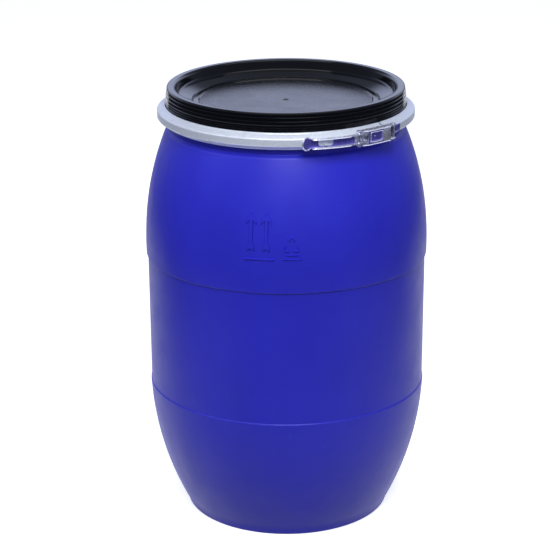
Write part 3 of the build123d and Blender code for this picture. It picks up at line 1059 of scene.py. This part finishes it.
@dataclass
class Lid:
    """Moulded lid with a dished panel, and the gasket in its channel."""

    wall: float = 3.0
    flange_low: float = 737.0
    flange_inner: float = 206.0
    flange_outer: float = 219.6
    flange_top: Pair = (741.28, 746.18)
    skirt: float = 210.8
    steps: tuple[Pair, ...] = (
        (751.0, 210.3), (754.6, 209.8), (765.0, 209.0), (771.6, 208.2),
    )
    step_round: float = 0.35
    step_rise: float = 0.8
    rib_height: float = 759.6
    rib_proud: float = 0.45
    rib_half: float = 1.0
    top: float = 779.6
    crown_outer_round: float = 6.0
    crown_inner: float = 193.0
    crown_inner_round: float = 6.5
    crease_round: float = 5.0
    dish_radius: float = 188.5
    dish_height: float = 762.8
    slope_radius: float = 164.4
    slope_height: float = 754.6
    groove_radius: float = 163.3
    groove_height: float = 752.9
    ledge_outer: float = 161.6
    ledge_inner: float = 153.0
    ledge_height: float = 753.9
    ledge_fall: float = 0.2
    panel_radius: float = 151.0
    panel_height: float = 752.0
    panel_crown: float = 0.5
    gate_radius: float = 5.2
    gate_height: float = 1.1
    gate_slope: float = 1.3
    gate_dimple: float = 1.5
    dimple_share: float = 0.4
    panel_margin: float = 2.0
    satin_margin: float = 0.6
    panel_steps: int = 10
    inner_round: float = 2.0
    facets: int = 224
    gasket_inner: float = 200.5
    gasket_outer: float = 204.9
    gasket_low: float = 771.3
    gasket_rounds: Pair = (0.9, 0.5)

    def skirt_turns(self) -> list[Turn]:
        """Gives the outer wall with its small steps and one fine rib.

        Returns:
            The corners, from the flange up.
        """
        turns: list[Turn] = []
        radius = self.skirt
        for height, next_radius in self.steps:
            turns.append(Turn(radius, height, self.step_round))
            turns.append(Turn(next_radius, height + self.step_rise, self.step_round))
            radius = next_radius
        wall = self.steps[1][1]
        rib = [
            Turn(wall, self.rib_height - self.rib_half, 0.3),
            Turn(wall + self.rib_proud, self.rib_height, 0.4),
            Turn(wall, self.rib_height + self.rib_half, 0.3),
        ]
        return turns[:4] + rib + turns[4:]

    def panel_turns(self) -> list[Turn]:
        """Gives the panel's slightly crowned face.

        Returns:
            Its points, from the rim towards the gate.
        """
        turns: list[Turn] = []
        start = self.panel_radius - self.panel_margin
        width = start - self.gate_radius - self.panel_margin
        for step in range(self.panel_steps + 1):
            radius = start - width * step / self.panel_steps
            crown = self.panel_crown * (1 - (radius / self.panel_radius) ** 2)
            turns.append(Turn(radius, self.panel_height + crown))
        return turns

    def outside(self) -> list[Turn]:
        """Gives the outer outline, from the flange's lower edge to the panel's centre.

        Returns:
            The corners.
        """
        crown_outer = self.steps[-1][1]
        middle = self.panel_height + self.panel_crown
        return [
            Turn(self.flange_inner, self.flange_low),
            Turn(self.flange_outer, self.flange_low, 0.8),
            Turn(self.flange_outer, self.flange_top[0], 1.2),
            Turn(self.skirt, self.flange_top[1], 1.0),
            *self.skirt_turns(),
            Turn(crown_outer, self.top, self.crown_outer_round),
            Turn(self.crown_inner, self.top, self.crown_inner_round),
            Turn(self.dish_radius, self.dish_height, self.crease_round),
            Turn(self.slope_radius, self.slope_height, 0.8),
            Turn(self.groove_radius, self.groove_height, 0.5),
            Turn(self.ledge_outer, self.ledge_height, 0.9),
            Turn(self.ledge_inner, self.ledge_height - self.ledge_fall, 0.9),
            Turn(self.panel_radius, self.panel_height, 0.7),
            *self.panel_turns(),
            Turn(self.gate_radius, middle, 0.5),
            Turn(self.gate_radius - self.gate_slope, middle + self.gate_height, 0.7),
            Turn(self.gate_dimple, middle + self.gate_height, 0.5),
            Turn(0.0, middle + self.gate_height * self.dimple_share),
        ]

    def inside(self) -> list[Turn]:
        """Gives the inner outline, from the panel's centre back to the flange.

        Returns:
            The corners.
        """
        crown_outer = self.steps[-1][1]
        return [
            Turn(0.0, self.panel_height - self.wall),
            Turn(self.panel_radius, self.panel_height - self.wall, self.inner_round),
            Turn(self.slope_radius, self.slope_height - self.wall, self.inner_round),
            Turn(self.dish_radius + self.wall, self.dish_height - self.wall, self.crease_round),
            Turn(self.crown_inner + self.wall, self.top - self.wall, 1.0),
            Turn(crown_outer - self.wall, self.top - self.wall, 1.0),
            Turn(self.flange_inner, self.steps[2][0], 1.0),
            Turn(self.flange_inner, self.flange_low),
        ]

    def build_lid(self) -> None:
        """Builds the lid."""
        bm = lathe(rounded(self.outside()) + rounded(self.inside()), self.facets)
        for face in bm.faces:
            reach = face.calc_center_median().xy.length
            if face.normal.z > FACING and reach < (self.panel_radius - self.satin_margin) * MM:
                face.material_index = 1
        finishes = [Finish.LID, Finish.LID_PANEL]
        finish_piece(bm, "lid_shell", "lid", finishes, ["lid"])

    def build_gasket(self) -> None:
        """Builds the gasket."""
        low, high = (self.gasket_low, self.top - self.wall)
        soft, tight = self.gasket_rounds
        section = [
            Turn(self.gasket_inner, low, soft),
            Turn(self.gasket_outer, low, soft),
            Turn(self.gasket_outer, high, tight),
            Turn(self.gasket_inner, high, tight),
        ]
        bm = lathe(rounded(section, closed=True), self.facets, closed=True)
        finish_piece(bm, "gasket_ring", "lid", [Finish.RUBBER], ["lid_gasket"])

    def build(self) -> None:
        """Builds and dresses the lid and its gasket."""
        self.build_lid()
        self.build_gasket()


# ---- clamp band ------------------------------------------------------------------------


@dataclass
class ClampBand:
    """Split galvanised ring; it opens at the front."""

    sheet: float = 1.4
    face: float = 225.4
    low: float = 727.0
    high: float = 740.0
    leg_edge: float = 211.4
    leg_rise: float = 7.8
    bend: float = 3.2
    hem: float = 2.6
    hem_lift: float = 0.7
    hem_rounds: Triple = (0.4, 0.7, 0.6)
    hem_run: float = 0.5
    split_angle: float = 47.3
    split_gap: float = 3.0
    facets: int = 220
    flex_half: float = 1.2

    def section(self) -> list[Turn]:
        """Gives the closed section of the sheet, hems included.

        Returns:
            The corners.
        """
        slope = self.leg_rise / (self.face - self.leg_edge)
        thick = self.sheet * sqrt(1 + slope ** 2)
        middle = (self.low + self.high) / 2
        hem = self.leg_edge + self.hem

        def rise(radius: float) -> float:
            """Gives the height of the upper leg's outer face at a radius."""
            return self.high + (self.face - radius) * slope

        inner = self.face - self.sheet
        tight, edge, soft = self.hem_rounds
        upper = [
            Turn(inner, rise(inner) - thick, self.bend - self.sheet),
            Turn(self.leg_edge, rise(self.leg_edge) - thick, tight),
            Turn(self.leg_edge, rise(self.leg_edge) + self.hem_lift, edge),
            Turn(hem, rise(hem) + self.hem_lift, soft),
            Turn(hem + self.hem_run, rise(hem + self.hem_run), tight),
            Turn(self.face, self.high, self.bend),
        ]
        mirrored = [Turn(t.radius, 2 * middle - t.height, t.fillet) for t in reversed(upper)]
        return upper + mirrored

    def build(self) -> None:
        """Builds and dresses the band."""
        gap = self.split_gap / self.face
        bm = bmesh.new()
        points = rounded(self.section(), closed=True)
        face = bm.faces.new([bm.verts.new(p) for p in points])
        start = about_axis(radians(self.split_angle - 90.0) + gap / 2)
        bmesh.ops.rotate(bm, verts=bm.verts, cent=(0, 0, 0), matrix=start)
        bmesh.ops.spin(
            bm, geom=[face], cent=(0, 0, 0), axis=(0, 0, 1), dvec=(0, 0, 0),
            angle=2 * pi - gap, steps=self.facets, use_merge=False, use_duplicate=False,
        )
        bmesh.ops.recalc_face_normals(bm, faces=bm.faces)
        piece = finish_piece(bm, "clamp_ring", "", [Finish.BAND], ["clamp_band"])
        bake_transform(piece)


# ---- latch -----------------------------------------------------------------------------


@dataclass
class Lever:
    """Hand lever: a channel with rolled rims, a window and a rimmed finger tab."""

    middle: float = 733.5
    web_face: float = 230.1
    rim_radius: float = 236.3
    rim_height: float = 7.6
    rim_end: float = 27.0
    neck: float = 10.5
    rolled: float = 1.6
    tab_rolled: float = 1.15
    tab_angle: float = 8.6
    tab_half_width: float = 8.3
    tab_half_height: float = 10.7
    tab_lift: Pair = (2.95, 5.65)
    tab_span: float = 4.1
    side_steps: int = 12
    side_gap: float = 0.5
    tab_steps: int = 28
    tab_margin: float = 0.6
    rim_fall: Triple = (3.2, 0.1, 0.2)
    recess_limit: float = 232.5
    bevel: float = 0.35

    def tab_point(self, turn: float) -> Vector:
        """Gives a point of the tab's rim.

        Args:
            turn: Turn round the tab's centre, in radians.

        Returns:
            The point.
        """
        angle = self.tab_angle + degrees(self.tab_half_width * cos(turn) / self.rim_radius)
        share = max(0.0, (self.neck - angle) / self.tab_span)
        lift = self.tab_lift[0] * share + self.tab_lift[1] * share ** 2
        height = self.middle + self.tab_half_height * sin(turn)
        return polar(self.web_face + lift, angle, height) * MM

    def roll_rim(self, bm: Mesh) -> None:
        """Adds the rolled edge that runs along both sides and round the tab.

        Args:
            bm: The lever's mesh.
        """
        steps = self.side_steps
        run = self.neck + self.side_gap - self.rim_end
        top = self.middle + self.rim_height
        angles = [self.rim_end + run * k / steps for k in range(steps + 1)]
        side = [polar(self.rim_radius, a, top) * MM for a in angles]
        out, turn, rise = self.rim_fall
        fall = polar(self.web_face + out, self.neck + turn, top + rise) * MM
        first = asin(self.rim_height / self.tab_half_height)
        share = (2 * pi - 2 * first) / self.tab_steps
        round_tab = [self.tab_point(first + share * k) for k in range(self.tab_steps + 1)]
        flip = Vector((1.0, 1.0, -1.0))
        raise_back = Vector((0.0, 0.0, 2 * self.middle * MM))
        lower = [p * flip + raise_back for p in reversed(side + [fall])]
        path = side + [fall] + round_tab + lower
        wide = [self.rolled * MM] * len(side)
        narrow = [self.tab_rolled * MM] * (len(round_tab) + 2)
        roll_edge(bm, path, wide + narrow + wide)

    def build(self) -> None:
        """Builds and dresses the lever."""
        bm = refined_copy("latch_lever", self.bevel * MM)
        # Outward faces of the recessed web and of the finger tab take the painted blue reflection and
        # shade; the rest stays bright zinc.
        for face in bm.faces:
            centre = face.calc_center_median()
            outward = Vector((centre.x, centre.y, 0.0))
            facing = face.normal.dot(outward.normalized())
            turned = outward.angle(Vector((0.0, -1.0, 0.0)))
            on_tab = turned < radians(self.neck + self.tab_margin)
            if facing > FACING and (outward.length < self.recess_limit * MM or on_tab):
                face.material_index = 1
        self.roll_rim(bm)
        finishes = [Finish.LATCH, Finish.PASSIVATED]
        finish_piece(bm, "lever_handle", "lever", finishes, ["latch_lever"])


@dataclass
class DrawLink:
    """Wide channel from the lever's pin to the hook bar, with a long recess in its face."""

    pin: Pair = (121.33397988331, -194.95658166612)
    bar: Pair = (180.29786305802, -146.00233072356)
    middle: float = 733.5
    face: float = 8.5
    face_start: float = 14.5
    face_end: float = 63.6
    recess: Pair = (18.5, 46.5)
    recess_half: float = 8.4
    recess_corner: float = 4.0
    rolled: float = 0.75
    edge_half: float = 11.9
    edge_rolled: float = 1.15
    edge_start: float = 3.0
    edge_low: float = 5.0
    edge_sink: float = 0.2
    edge_fall: float = 0.4
    edge_before: float = 1.0
    edge_after: float = 1.5
    plain_from: float = 47.5
    bevel: float = 0.35

    def place(self, along: float, out: float, rise: float) -> Vector:
        """Gives a point of the link.

        Args:
            along: Distance from the pin towards the hook bar.
            out: Distance outwards from the line between them.
            rise: Height above the link's middle.

        Returns:
            The point.
        """
        pin, bar = Vector(self.pin), Vector(self.bar)
        run = (bar - pin).normalized()
        flat = pin + run * along + Vector((run.y, -run.x)) * out
        return Vector((flat.x, flat.y, self.middle + rise)) * MM

    def roll_recess(self, bm: Mesh) -> None:
        """Adds the rolled edge round the recess.

        Args:
            bm: The link's mesh.
        """
        low, high = self.recess
        corners = [
            Vector((low, -self.recess_half)), Vector((high, -self.recess_half)),
            Vector((high, self.recess_half)), Vector((low, self.recess_half)),
        ]
        path: list[Vector] = []
        for index, corner in enumerate(corners):
            back = corners[index - 1] - corner
            ahead = corners[(index + 1) % 4] - corner
            path.extend(corner_arc(corner, back, ahead, self.recess_corner))
        places = [self.place(p.x, self.face, p.y) for p in path]
        roll_edge(bm, places, [self.rolled * MM] * len(places), closed=True)

    def roll_side(self, bm: Mesh, rise: float) -> None:
        """Adds the rolled edge along one side of the channel.

        Args:
            bm: The link's mesh.
            rise: Height of the side above the link's middle.
        """
        top = self.face - self.edge_sink
        path = [
            self.place(self.edge_start, self.edge_low, rise),
            self.place(self.face_start - self.edge_before, top - self.edge_fall, rise),
            self.place(self.face_start + self.edge_after, top, rise),
            self.place(self.face_end - self.edge_before, top, rise),
        ]
        roll_edge(bm, path, [self.edge_rolled * MM] * len(path))

    def build(self) -> None:
        """Builds and dresses the link."""
        bm = refined_copy("draw_link", self.bevel * MM)
        start = self.place(0.0, 0.0, 0.0)
        run = (self.place(1.0, 0.0, 0.0) - start).normalized()
        outward = (self.place(0.0, 1.0, 0.0) - start).normalized()
        cut = self.place(self.plain_from, 0.0, 0.0)
        parts = bm.verts[:] + bm.edges[:] + bm.faces[:]
        bmesh.ops.bisect_plane(bm, geom=parts, dist=WELD, plane_co=cut, plane_no=run)
        # Outward faces up to plain_from take the painted blue reflection and shade; the rest stays
        # bright zinc.
        for face in bm.faces:
            along = (face.calc_center_median() - start).dot(run) / MM
            if face.normal.dot(outward) > FACING and along < self.plain_from:
                face.material_index = 1
        self.roll_recess(bm)
        for rise in (self.edge_half, -self.edge_half):
            self.roll_side(bm, rise)
        finishes = [Finish.LATCH, Finish.PASSIVATED]
        finish_piece(bm, "draw_plate", "link", finishes, ["draw_link"])


@dataclass
class Latch:
    """Over-centre lever latch with its brackets, pins and sealing lug."""

    lever: Lever = field(default_factory=Lever)
    link: DrawLink = field(default_factory=DrawLink)
    bevel: float = 0.35
    plain: tuple[tuple[str, str, str, str, Finish], ...] = (
        ("fulcrum_bracket", "fulcrum_plate", "ring_left", "latch_steel", Finish.LATCH),
        # The keeper bracket carries the painted blue reflection and shade all over.
        ("keeper_bracket", "keeper_plate", "ring_right", "latch_steel", Finish.PASSIVATED),
        ("seal_lug", "seal_tab", "ring_left", "band_steel", Finish.BAND),
        ("fulcrum_pin", "fulcrum_rivet", "ring_left", "pin_steel", Finish.PIN),
        ("link_pin", "link_rivet", "lever", "pin_steel", Finish.PIN),
        ("hook_bar", "hook_rod", "link", "pin_steel", Finish.PIN),
    )

    def build(self) -> None:
        """Builds and dresses every piece of the latch."""
        for node, name, body, slot, finish in self.plain:
            finish_piece(refined_copy(node, self.bevel * MM), name, body, [finish], [node])
        self.lever.build()
        self.link.build()


# ---- studio ----------------------------------------------------------------------------


@dataclass
class Softbox:
    """A square area light that points at the drum."""

    name: str
    place: Triple
    size: float
    power: float
    target: Triple = (0.0, 0.0, 0.45)

    def build(self) -> None:
        """Adds the light."""
        data = bpy.data.lights.new(self.name, "AREA")
        data.shape = "SQUARE"
        data.size = self.size
        data.energy = self.power
        light = bpy.data.objects.new(self.name, data)
        light.location = self.place
        aim = Vector(self.target) - Vector(self.place)
        light.rotation_euler = aim.to_track_quat("-Z", "Y").to_euler()
        bpy.context.scene.collection.objects.link(light)


@dataclass
class Studio:
    """Pale floor, soft light, a dark card that only reflections see, and the camera."""

    floor_size: float = 40.0
    floor_colour: Colour = (0.9, 0.9, 0.9, 1.0)
    floor_glow: float = 0.72
    floor_rough: float = 0.95
    card_near: float = -0.9
    card_far: float = -16.0
    card_half: float = 16.0
    wing_inner: float = 1.1
    wing_back: float = 0.5
    outer_wing: float = 1.6
    outer_back: float = 5.0
    card_lift: float = 0.002
    card_colour: Colour = (0.03, 0.03, 0.035, 1.0)
    card_rough: float = 0.9
    ambient: float = 0.30
    ambient_below: float = 0.11
    glow: float = 1.35
    sky_tint: Colour = (0.64, 0.71, 1.0, 1.0)
    glow_bottom: Pair = (0.06, 0.24)
    glow_top: Pair = (0.50, 0.34)
    glow_behind: Pair = (0.15, 0.75)
    horizon: Pair = (-0.15, 0.05)
    camera_place: Triple = (0.0, -3.37085, 1.5866)
    camera_pitch: float = 0.3337
    camera_yaw: float = 0.0035
    camera_roll: float = -0.0049
    lens: float = 127.18
    sensor: float = 36.0
    lights: tuple[Softbox, ...] = field(
        default_factory=lambda: (
            Softbox("key_softbox", (0.1, -1.75, 2.25), 1.0, 42.0),
            Softbox("left_softbox", (-2.6, -1.0, 2.7), 1.6, 22.0),
            Softbox("right_softbox", (2.7, -0.6, 2.7), 1.6, 6.0),
            Softbox("top_softbox", (0.1, 0.2, 3.2), 2.2, 16.0),
        )
    )

    def flat_object(self, bm: Mesh, name: str, material: bpy.types.Material) -> bpy.types.Object:
        """Adds a flat piece of the studio.

        Args:
            bm: Its mesh, freed here.
            name: Its name.
            material: Its material.

        Returns:
            The new object.
        """
        mesh = bpy.data.meshes.new(name)
        bm.to_mesh(mesh)
        bm.free()
        mesh.materials.append(material)
        flat = bpy.data.objects.new(name, mesh)
        bpy.context.scene.collection.objects.link(flat)
        return flat

    def build_floor(self) -> None:
        """Adds the pale floor, which the drum mirrors but which throws no light up on it."""
        bm = bmesh.new()
        bmesh.ops.create_grid(bm, x_segments=1, y_segments=1, size=self.floor_size / 2)
        n = Nodes("studio_floor")
        n.fill(n.shader, {
            "Base Color": self.floor_colour,
            "Roughness": self.floor_rough,
            "Specular IOR Level": 0.0,
            "Emission Color": (1.0, 1.0, 1.0, 1.0),
            "Emission Strength": self.floor_glow,
        })
        floor = self.flat_object(bm, "studio_floor", n.material)
        floor.visible_diffuse = False

    def build_card(self) -> None:
        """Adds the dark card in front, which only glossy surfaces see."""
        bm = bmesh.new()
        half, near, middle = (self.card_half, self.card_near, self.wing_back)
        sheets = [((-half, half), (self.card_far, near))]
        wings = ((self.wing_inner, near, middle), (self.outer_wing, middle, self.outer_back))
        for inner, front, back in wings:
            sheets += [((-half, -inner), (front, back)), ((inner, half), (front, back))]
        for (left, right), (front, back) in sheets:
            made = bmesh.ops.create_grid(bm, x_segments=1, y_segments=1, size=0.5)["verts"]
            bmesh.ops.scale(bm, verts=made, vec=(right - left, back - front, 1.0))
            place = ((left + right) / 2, (front + back) / 2, self.card_lift)
            bmesh.ops.translate(bm, verts=made, vec=place)
        n = Nodes("studio_card")
        n.fill(n.shader, {"Base Color": self.card_colour, "Roughness": self.card_rough})
        card = self.flat_object(bm, "studio_card", n.material)
        card.visible_camera = False
        card.visible_diffuse = False
        card.visible_shadow = False

    def build_sky(self) -> None:
        """Adds the surrounding light: dim all round, with a bright band low down behind the drum."""
        world = bpy.data.worlds.new("studio_sky")
        bpy.context.scene.world = world
        world.use_nodes = True
        sky = Wiring(world.node_tree)
        place = sky.add("TexCoord", {}).outputs["Generated"]
        toward = sky.add("SeparateXYZ", {"Vector": place}).outputs
        bottom = sky.remap(toward["Z"], *self.glow_bottom, ease="SMOOTHSTEP")
        top = sky.remap(toward["Z"], *self.glow_top, ease="SMOOTHSTEP")
        behind = sky.remap(toward["Y"], *self.glow_behind, ease="SMOOTHSTEP")
        band = sky.math("MULTIPLY", sky.math("MULTIPLY", bottom, top), behind)
        dim = sky.remap(toward["Z"], *self.horizon, self.ambient_below, self.ambient)
        strength = sky.math("ADD", sky.math("MULTIPLY", band, self.glow), dim)
        light = sky.add("Background", {"Color": self.sky_tint, "Strength": strength})
        sky.add("OutputWorld", {"Surface": light.outputs["Background"]})

    def build_camera(self) -> None:
        """Adds the camera at its viewing angle."""
        yaw, pitch, roll = (self.camera_yaw, self.camera_pitch, self.camera_roll)
        ahead = Vector((-sin(yaw) * cos(pitch), cos(yaw) * cos(pitch), -sin(pitch)))
        right = Vector((cos(yaw), sin(yaw), 0.0))
        up = right.cross(ahead)
        rolled_right = right * cos(roll) + up * sin(roll)
        rolled_up = up * cos(roll) - right * sin(roll)
        data = bpy.data.cameras.new("view")
        data.lens = self.lens
        data.sensor_width = self.sensor
        camera = bpy.data.objects.new("view", data)
        turn = Matrix((rolled_right, rolled_up, -ahead)).transposed()
        camera.matrix_world = Matrix.Translation(self.camera_place) @ turn.to_4x4()
        bpy.context.scene.collection.objects.link(camera)
        bpy.context.scene.camera = camera

    def shade(self, piece_name: str) -> None:
        """Keeps the front and side softboxes off one piece, so its walls stay dark.

        Args:
            piece_name: Name of the piece.
        """
        piece = bpy.data.objects[piece_name]
        shaded = bpy.data.collections.new(f"unlit_{piece_name}")
        shaded.objects.link(piece)
        shaded.collection_objects[0].light_linking.link_state = "EXCLUDE"
        for light in self.lights[:3]:
            bpy.data.objects[light.name].light_linking.receiver_collection = shaded

    def build(self) -> None:
        """Adds everything in the studio."""
        self.build_camera()
        self.build_floor()
        self.build_card()
        self.build_sky()
        for light in self.lights:
            light.build()
        bpy.context.scene.view_settings.view_transform = "Standard"


def main() -> None:
    """Builds the studio and every sub-assembly."""
    logging.basicConfig(level=logging.INFO, format="%(name)s: %(message)s")
    studio = Studio()
    studio.build()
    barrel = Barrel()
    barrel.build()
    HandlingMarks(barrel).build()
    Lid().build()
    ClampBand().build()
    Latch().build()
    studio.shade("lid_shell")


if __name__ == "__main__":
    main()
